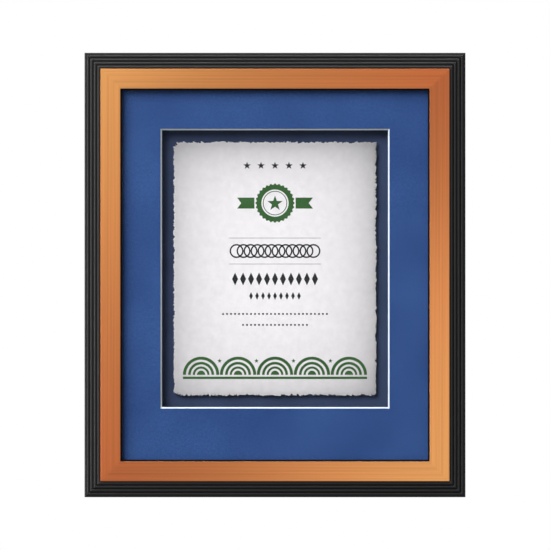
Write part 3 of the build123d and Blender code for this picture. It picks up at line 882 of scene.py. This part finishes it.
def torn_sheet_group():
    """Group that makes a flat sheet in XY, its face at z = Thickness, with torn and thinned edges."""
    floats = {name: "Float" for name in SHEET_SIZES}
    tree, size = new_group("Torn sheet", "Sheet", Start="Geometry", **floats, Finish="Material")

    oblong = {"Width": size["Width"], "Height": size["Height"]}
    outline = add(tree, "GeometryNodeCurvePrimitiveQuadrilateral", oblong)
    steps = add(tree, "GeometryNodeResampleCurve", {"Curve": outline, "Length": size["Step"]}, mode="LENGTH")
    wire = add(tree, "GeometryNodeCurveToMesh", {"Curve": steps})
    start = {"Geometry": wire, "Name": "edge", "Value": add(tree, "GeometryNodeInputPosition")}
    rings = add(tree, "GeometryNodeStoreNamedAttribute", start, data_type="FLOAT_VECTOR")
    newest = {}
    for depth in SHEET_RINGS:
        growth = {"Mesh": rings, "Offset Scale": 0.0, **newest}
        grown = add(tree, "GeometryNodeExtrudeMesh", growth, mode="EDGES")
        newest = {"Selection": grown.outputs["Top"]}
        ring_depth = {"Geometry": grown, "Name": "rim", "Value": depth, **newest}
        rings = add(tree, "GeometryNodeStoreNamedAttribute", ring_depth)

    edge = add(tree, "GeometryNodeInputNamedAttribute", {"Name": "edge"}, data_type="FLOAT_VECTOR")
    rim = add(tree, "GeometryNodeInputNamedAttribute", {"Name": "rim"})
    full = add(tree, "ShaderNodeCombineXYZ", {"X": size["Width"], "Y": size["Height"], "Z": 1.0})
    half = add(tree, "ShaderNodeVectorMath", {0: full, "Scale": 0.5}, operation="SCALE")
    spread = add(tree, "ShaderNodeMath", {0: 1.0, 1: size["Tear Length"]}, operation="DIVIDE")
    stretched = add(tree, "ShaderNodeVectorMath", {0: edge, "Scale": spread}, operation="SCALE")
    lane = add(tree, "ShaderNodeCombineXYZ", {"Z": size["Seed"]})
    along = add(tree, "ShaderNodeVectorMath", {0: stretched, 1: lane}, operation="ADD")
    ragged = add(tree, "ShaderNodeTexNoise", {"Vector": along, "Scale": 1.0, "Detail": 3.0, "Roughness": 1.0})
    biting = {"Value": ragged, "From Min": 0.38, "From Max": 0.62, "To Max": size["Tear"]}
    bite = add(tree, "ShaderNodeMapRange", biting)

    quarter = add(tree, "ShaderNodeVectorMath", {0: edge}, operation="ABSOLUTE")
    flat_half = add(tree, "ShaderNodeVectorMath", {0: half, 1: FLAT}, operation="MULTIPLY")
    to_corner = add(tree, "ShaderNodeVectorMath", {0: quarter, 1: flat_half}, operation="DISTANCE")
    corner_distance = to_corner.outputs["Value"]
    wearing = {"Value": corner_distance, "From Max": CORNER_REACH, "To Min": size["Wear"], "To Max": 0.0}
    near_corner = add(tree, "ShaderNodeMapRange", wearing, interpolation_type="SMOOTHSTEP")
    sideways = add(tree, "ShaderNodeSeparateXYZ", {0: edge}).outputs["X"]
    crossover = {"Value": sideways, "From Min": -WEAR_CROSSOVER, "From Max": WEAR_CROSSOVER}
    left_share = add(tree, "ShaderNodeMapRange", {**crossover, "To Min": 1.0, "To Max": RIGHT_WEAR})
    inset = add(tree, "ShaderNodeMath", {0: near_corner, 1: left_share, 2: bite}, operation="MULTIPLY_ADD")

    inwards = {"Value": rim, "From Max": SHEET_RINGS[-1], "To Min": 1.0, "To Max": 0.0}
    share = add(tree, "ShaderNodeMapRange", inwards)
    eased = add(tree, "ShaderNodeMath", {0: share, 1: TEAR_EASE}, operation="POWER")
    depth = add(tree, "ShaderNodeMath", {0: inset, 1: eased, 2: rim}, operation="MULTIPLY_ADD")
    by_size = add(tree, "ShaderNodeVectorMath", {0: FLAT, 1: half}, operation="DIVIDE")
    shrink = add(tree, "ShaderNodeVectorMath", {0: by_size, "Scale": depth}, operation="SCALE")
    keep = add(tree, "ShaderNodeVectorMath", {0: (1, 1, 1), 1: shrink}, operation="SUBTRACT")
    torn_place = add(tree, "ShaderNodeVectorMath", {0: edge, 1: keep}, operation="MULTIPLY")
    torn = add(tree, "GeometryNodeSetPosition", {"Geometry": rings, "Position": torn_place})

    inner_line = add(tree, "GeometryNodeMeshToCurve", {"Mesh": torn, **newest})
    middle = add(tree, "GeometryNodeFillCurve", {"Curve": inner_line}, mode="NGONS")
    innermost = {"Geometry": middle, "Name": "rim", "Value": SHEET_RINGS[-1]}
    marked = add(tree, "GeometryNodeStoreNamedAttribute", innermost)
    whole = add(tree, "GeometryNodeJoinGeometry", {"Geometry": [torn, marked]})
    leaf = add(tree, "GeometryNodeMergeByDistance", {"Geometry": whole, "Distance": DRAWN_WELD})
    forward = add(tree, "ShaderNodeCombineXYZ", {"Z": 1.0})
    push = {"Mesh": leaf, "Offset": forward, "Offset Scale": size["Thickness"], "Individual": False}
    thick = add(tree, "GeometryNodeExtrudeMesh", push)

    loose = add(tree, "ShaderNodeTexNoise", {"Scale": 1 / LOOSE_FIBRE, "Detail": 3.0})
    feather = add(tree, "ShaderNodeMath", {0: loose, 1: size["Feather"]}, operation="MULTIPLY")
    thin = {"Value": rim, "From Max": feather, "To Min": -RIM_THINNING, "To Max": 0.0}
    thinning = add(tree, "ShaderNodeMapRange", thin, interpolation_type="SMOOTHSTEP")
    drop = add(tree, "ShaderNodeMath", {0: thinning, 1: size["Thickness"]}, operation="MULTIPLY")
    lowered = add(tree, "ShaderNodeCombineXYZ", {"Z": drop})
    lower = {"Geometry": thick, "Selection": thick.outputs["Top"], "Offset": lowered}
    feathered = add(tree, "GeometryNodeSetPosition", lower)
    back = add(tree, "GeometryNodeFlipFaces", {"Mesh": leaf})
    closed = add(tree, "GeometryNodeJoinGeometry", {"Geometry": [feathered, back]})
    solid = add(tree, "GeometryNodeMergeByDistance", {"Geometry": closed, "Distance": DRAWN_WELD})
    return end_group(tree, solid, size["Finish"])


sheet_group = torn_sheet_group()

# %% The floated sheet
sheet = new_object("torn_sheet", bpy.data.meshes.new("torn_sheet"))
give_group(
    sheet,
    sheet_group,
    Width=sheet_size.x,
    Height=sheet_size.z,
    Thickness=sheet_size.y,
    Step=0.5 * MM,
    Tear=2.4 * MM,
    Tear_Length=4.5 * MM,
    Wear=1.8 * MM,
    Feather=5 * MM,
    Seed=4.0,
    Finish=cotton,
)
freeze(sheet)
front_turn = Matrix((RIGHT, UP, FORWARD)).transposed().to_4x4()
sheet.data.transform(Matrix.Translation((sheet_centre.x, sheet_high.y, sheet_centre.z)) @ front_turn)
stand_for(sheet, "certificate_sheet")
print("sheet has", len(sheet.data.polygons), "faces")

# %% [markdown]
# ## Copies on points
# The print's marks and the small hardware repeat, so one more group sets copies out: each
# point of a mesh says which motif stands on it and how large, and a seeded random spin turns
# it, as nobody lines screw heads up. Motifs are held in a collection only while the group runs.

# %% Geometry Nodes group: set out copies
SPIN_SEED = 7


def copies_group():
    """Group that stands a collection's objects on points that carry motif and size."""
    sockets = {"Points": "Geometry", "Motifs": "Collection", "Spin": "Float", "Finish": "Material"}
    tree, given = new_group("Set out copies", "Copies", **sockets)
    kit = {"Collection": given["Motifs"], "Separate Children": True, "Reset Children": True}
    motifs = add(tree, "GeometryNodeCollectionInfo", kit)
    pick = add(tree, "GeometryNodeInputNamedAttribute", {"Name": "motif"}, data_type="INT")
    size = add(tree, "GeometryNodeInputNamedAttribute", {"Name": "size"})
    angle = add(tree, "FunctionNodeRandomValue", {"Min": 0.0, "Max": given["Spin"], "Seed": SPIN_SEED})
    turned = add(tree, "ShaderNodeCombineXYZ", {"Z": angle})
    chosen = {"Instance": motifs, "Pick Instance": True, "Instance Index": pick}
    placed = {"Points": given["Points"], "Rotation": turned, "Scale": size}
    stood = add(tree, "GeometryNodeInstanceOnPoints", {**chosen, **placed})
    return end_group(tree, stood, given["Finish"])


copies = copies_group()


def set_out(name, motifs, places, finish, place, spin=0.0):
    """Piece made of copies; each place is (motif, (x, y), size) on the plane of a matrix."""
    kit = bpy.data.collections.new(name)
    scene.collection.children.link(kit)
    for motif, mesh in motifs.items():
        kit.objects.link(bpy.data.objects.new(motif, mesh))
    points = bpy.data.meshes.new(name)
    points.from_pydata([(*spot, 0) for _, spot, _ in places], [], [])
    # Collection Info numbers a collection's objects in the order of their names
    order = sorted(motifs)
    picks = [order.index(motif) for motif, _, _ in places]
    points.attributes.new("motif", "INT", "POINT").data.foreach_set("value", picks)
    points.attributes.new("size", "FLOAT", "POINT").data.foreach_set("value", [size for _, _, size in places])
    piece = new_object(name, points)
    give_group(piece, copies, Motifs=kit, Spin=spin, Finish=finish)
    freeze(piece)
    piece.data.transform(place)
    for motif in list(kit.objects):
        bpy.data.objects.remove(motif)
    bpy.data.collections.remove(kit)
    return piece


# %% [markdown]
# ## The print
# The sheet carries a plain design in three inks: stars, a rosette with a ribbon, a chain
# between two rules, lozenges, dotted lines and a band of fans. Each mark is drawn once, in
# millimetres, as flat faces, and is then given a hair of thickness so that it lies on the
# paper as ink does. The inks dry into the paper, so they share its tooth.

# %% Marks
INK_PROUD = 0.04 * MM
INK_SUNK = 0.02 * MM
SCALLOP_COUNT = 28
SCALLOP_RADIUS = 19
SCALLOP_DEPTH = 0.7
ROSETTE_POINTS = 8 * SCALLOP_COUNT
ROSETTE_INNER = 13.6
FAN_BANDS = ((18.2, 15.2), (13.0, 10.4), (8.4, 6.2))
HALF_RING_POINTS = 33


def polar(radii, start=90, sweep=360):
    """Points about the origin at equal angles, one for each radius."""
    gaps = len(radii) if sweep == 360 else len(radii) - 1
    turns = [math.radians(start + sweep * i / gaps) for i in range(len(radii))]
    return [(radius * math.cos(turn), radius * math.sin(turn)) for radius, turn in zip(radii, turns)]


def strip(outer, inner, closed=True):
    """Four-sided faces between two lines of points."""
    pairs = list(zip(outer, inner))
    if closed:
        pairs.append(pairs[0])
    return [[a, b, d, c] for (a, c), (b, d) in zip(pairs, pairs[1:])]


def ring(outer, inner, points):
    """Flat ring about the origin."""
    return strip(polar([outer] * points), polar([inner] * points))


def half_ring(outer, inner):
    """Upper half of a ring."""
    lines = [polar([radius] * HALF_RING_POINTS, start=0, sweep=180) for radius in (outer, inner)]
    return strip(*lines, closed=False)


def box_face(width, height):
    """Rectangle about the origin."""
    x = width / 2
    y = height / 2
    return [(-x, -y), (x, -y), (x, y), (-x, y)]


scallop_turns = [math.tau * SCALLOP_COUNT * step / ROSETTE_POINTS for step in range(ROSETTE_POINTS)]
scallops = [SCALLOP_RADIUS + SCALLOP_DEPTH * math.cos(turn) for turn in scallop_turns]
rosette_rim = strip(polar(scallops), polar([ROSETTE_INNER] * ROSETTE_POINTS))
ribbon_end = [(20.6, -5.5), (38, -5.5), (33.8, 0), (38, 5.5), (20.6, 5.5)]
fan_bands = [face for outer, inner in FAN_BANDS for face in half_ring(outer, inner)]
MARKS = {
    "star": [polar([4.0, 1.6] * 5)],
    "link": ring(outer=7.0, inner=5.5, points=48),
    "lozenge": [[(0, -6.5), (3.0, 0), (0, 6.5), (-3.0, 0)]],
    "dot": [polar([1.0] * 12)],
    "rule": [box_face(width=92, height=0.5)],
    "rosette": rosette_rim + ring(outer=12.2, inner=11.4, points=96),
    "ribbon": [ribbon_end, [(-x, y) for x, y in ribbon_end]],
    "fan": fan_bands + [polar([4.2] * 17, start=0, sweep=180)],
    "bar": [box_face(width=184.4, height=2.4)],
}


def closed_mesh(work, name):
    """Plain mesh from a closed bmesh, with its faces outwards."""
    bmesh.ops.recalc_face_normals(work, faces=work.faces)
    mesh = bpy.data.meshes.new(name)
    work.to_mesh(mesh)
    work.free()
    return mesh


def ink_mesh(name, faces):
    """Closed plate of ink, a hair thick, from flat faces in millimetres."""
    work = bmesh.new()
    for face in faces:
        work.faces.new([work.verts.new((x * MM, y * MM, -INK_SUNK)) for x, y in face])
    bmesh.ops.remove_doubles(work, verts=work.verts, dist=DRAWN_WELD)
    lifted = bmesh.ops.extrude_face_region(work, geom=work.faces[:], use_keep_orig=True)["geom"]
    raised = [item for item in lifted if isinstance(item, bmesh.types.BMVert)]
    bmesh.ops.translate(work, verts=raised, vec=(0, 0, INK_SUNK + INK_PROUD))
    return closed_mesh(work, name)


print("drew", len(MARKS), "marks")

# %% Print the sheet
INK_TOOTH = 0.8 * MM
INK_ROUGHNESS = 0.7

charcoal_ink = pulp_board("Charcoal printing ink", "1D1E20", "2B2C2F", INK_TOOTH, INK_ROUGHNESS)
grey_ink = pulp_board("Grey printing ink", "77797C", "8A8C90", INK_TOOTH, INK_ROUGHNESS)
green_ink = pulp_board("Green printing ink", "2D5329", "385F33", INK_TOOTH, INK_ROUGHNESS)

# Each row: mark, how many, pitch, how far below the sheet's top edge, size
INK_ROWS = {
    "charcoal_print": (
        charcoal_ink,
        (
            ("star", 5, 14, 24.5, 1.0),
            ("link", 12, 7, 110, 1.0),
            ("lozenge", 11, 8, 138, 1.0),
            ("lozenge", 9, 6, 155, 0.6),
            ("dot", 27, 4, 173, 1.0),
            ("dot", 17, 4, 184, 1.0),
        ),
    ),
    "grey_print": (grey_ink, (("rule", 1, 0, 97, 1.0), ("rule", 1, 0, 123, 1.0))),
    "green_print": (
        green_ink,
        (
            ("rosette", 1, 0, 62, 1.0),
            ("star", 1, 0, 62.4, 2.0),
            ("ribbon", 1, 0, 62, 1.0),
            ("fan", 5, 37, 234, 1.0),
            ("star", 4, 37, 220, 0.6),
            ("bar", 1, 0, 237, 1.0),
        ),
    ),
}
face_place = Matrix.Translation((sheet_centre.x, sheet_low.y, sheet_high.z)) @ front_turn
for name, (ink, rows) in INK_ROWS.items():
    spots = []
    for mark, count, pitch, below, size in rows:
        across = [(step - (count - 1) / 2) * pitch * MM for step in range(count)]
        spots += [(mark, (x, -below * MM), size) for x in across]
    drawn = {mark: ink_mesh(mark, MARKS[mark]) for mark in sorted({row[0] for row in rows})}
    piece = set_out(name, drawn, spots, ink, face_place)
    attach(piece, "frame")
    print(name, "has", len(spots), "marks")

# %% [markdown]
# ## Hardware on the back
# The turn buttons and the hanger are stampings: the construction's own shapes, with the small
# round that a press leaves along every edge. A Bevel modifier adds it to a copy, once the
# copy's triangles are merged back into whole faces. Each button rides on its own body.

# %% Turn buttons and hanger
BUTTON_ROUND = 0.22 * MM
HANGER_ROUND = 0.12 * MM
ROUND_SEGMENTS = 3
FLAT_ANGLE = math.radians(1)
PRESSED_ANGLE = math.radians(40)


def eased_copy(name, node, width, finish):
    """Copy of a construction piece with its sharp edges rounded."""
    source = frame["nodes"][node]
    mesh = source.data.copy()
    mesh.transform(source.matrix_world)
    work = bmesh.new()
    work.from_mesh(mesh)
    bmesh.ops.remove_doubles(work, verts=work.verts, dist=MESH_WELD)
    bmesh.ops.dissolve_limit(work, angle_limit=FLAT_ANGLE, verts=work.verts, edges=work.edges)
    work.to_mesh(mesh)
    work.free()
    mesh.materials.clear()
    mesh.materials.append(finish)
    piece = new_object(name, mesh)
    press = piece.modifiers.new("Pressed edge", "BEVEL")
    press.width = width
    press.segments = ROUND_SEGMENTS
    press.limit_method = "ANGLE"
    press.angle_limit = PRESSED_ANGLE
    freeze(piece)
    return piece


buttons = [node for node in frame["nodes"] if node in frame["bodies"]]
for node in buttons:
    button = eased_copy(f"stamped_{node}", node, BUTTON_ROUND, zinc_steel)
    stand_for(button, node, body=node)
hanger = eased_copy("stamped_hanger", "sawtooth_hanger", HANGER_ROUND, zinc_steel)
stand_for(hanger, "sawtooth_hanger")
print(len(buttons), "buttons of", len(button.data.polygons), "faces; hanger", len(hanger.data.polygons))

# %% [markdown]
# Screws, brads and bumpers are turned shapes: half an outline, spun round its axis. The
# screw's cross recess is cut with a Boolean, the way a punch would make it. Heights are from
# the rails' backs, so a screw's head starts on top of its button.

# %% Turned shapes
PUNCH_TAPER = 0.55


def lathe(name, outline, steps=40):
    """Closed mesh from half an outline of (radius, height) in mm, spun about Z."""
    work = bmesh.new()
    verts = [work.verts.new((radius * MM, 0, height * MM)) for radius, height in outline]
    edges = [work.edges.new(pair) for pair in zip(verts, verts[1:])]
    bmesh.ops.spin(work, geom=verts + edges, axis=UP, cent=(0, 0, 0), angle=math.tau, steps=steps)
    bmesh.ops.remove_doubles(work, verts=work.verts, dist=MESH_WELD)
    return closed_mesh(work, name)


def dome(radius, low, high, top=0.0, steps=8):
    """Outline of a quarter oval, from (radius, low) up to (top, high)."""
    turns = [math.pi / 2 * step / steps for step in range(steps + 1)]
    return [(top + (radius - top) * math.cos(t), low + (high - low) * math.sin(t)) for t in turns]


def cross_punch(long, narrow, top, bottom):
    """Tapered cross that cuts a screw's recess."""
    work = bmesh.new()
    ends = []
    for height, scale in ((bottom, PUNCH_TAPER), (top, 1.0)):
        corner = [(long * scale, -narrow), (long * scale, narrow), (narrow, narrow)]
        turns = [Matrix.Rotation(math.pi / 2 * quarter, 2) for quarter in range(4)]
        spots = [turn @ Vector(spot) for turn in turns for spot in corner]
        ends.append([work.verts.new((spot.x * MM, spot.y * MM, height * MM)) for spot in spots])
        work.faces.new(ends[-1])
    for i in range(len(ends[0])):
        work.faces.new([ends[0][i - 1], ends[0][i], ends[1][i], ends[1][i - 1]])
    return closed_mesh(work, "cross_punch")


# Half outlines as (radius, height) in mm, from the lowest point to the top
HEAD_SEAT = 1.26
screw_outline = [(0, -12), (1.6, -9.5), (1.6, HEAD_SEAT), (3.05, HEAD_SEAT)]
screw_outline += dome(radius=3.2, low=HEAD_SEAT + 0.5, high=HEAD_SEAT + 2.0)
brad_outline = [(0, -10), (0.9, -9), (0.9, 1.0), (1.8, 1.0)] + dome(radius=1.9, low=1.15, high=1.7)
bumper_outline = [(0, 0), (5.5, 0)] + dome(radius=5.5, low=1.4, high=3.5, top=2.4)
bumper_outline += [(1.5, 3.5), (1.2, 3.3), (0, 3.25)]

punch_mesh = cross_punch(long=2.0, narrow=0.42, top=HEAD_SEAT + 2.2, bottom=HEAD_SEAT + 0.7)
punch = new_object("cross_punch", punch_mesh)
blank = new_object("screw_blank", lathe("screw_blank", screw_outline))
recess = blank.modifiers.new("Recess", "BOOLEAN")
recess.operation = "DIFFERENCE"
recess.object = punch
freeze(blank)
screw_mesh = blank.data
bpy.data.objects.remove(blank)
bpy.data.objects.remove(punch)
print("a screw has", len(screw_mesh.polygons), "faces")

# %% Screws, brads and bumpers
back_turn = Matrix((RIGHT, -UP, -FORWARD)).transposed().to_4x4()
back_place = Matrix.Translation((0, RAIL_BACK, 0)) @ back_turn
brad_low, brad_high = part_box("hanger_brads")
brad_reach = brad_high.x - (brad_high.z - brad_low.z) / 2
brad_level = -(brad_low.z + brad_high.z) / 2
screw_spots = [("screw", (joint["pos_m"][0], -joint["pos_m"][2]), 1.0) for joint in frame["joints"]]
brad_spots = [("brad", (side * brad_reach, brad_level), 1.0) for side in (-1, 1)]

screws = set_out("pan_head_screws", {"screw": screw_mesh}, screw_spots, zinc_steel, back_place, math.tau)
stand_for(screws, "turn_button_screws")
brads = set_out("hanger_nails", {"brad": lathe("brad", brad_outline)}, brad_spots, brass_plate, back_place)
stand_for(brads, "hanger_brads")
for side in ("left", "right"):
    low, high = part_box(f"wall_bumper_{side}")
    spot = ("bumper", ((low.x + high.x) / 2, -(low.z + high.z) / 2), 1.0)
    turned = {"bumper": lathe("bumper", bumper_outline)}
    pad = set_out(f"moulded_bumper_{side}", turned, [spot], rubber, back_place)
    stand_for(pad, f"wall_bumper_{side}")
counts = [len(piece.data.polygons) for piece in (screws, brads, pad)]
print("faces of the screws, the brads and one bumper:", *counts)
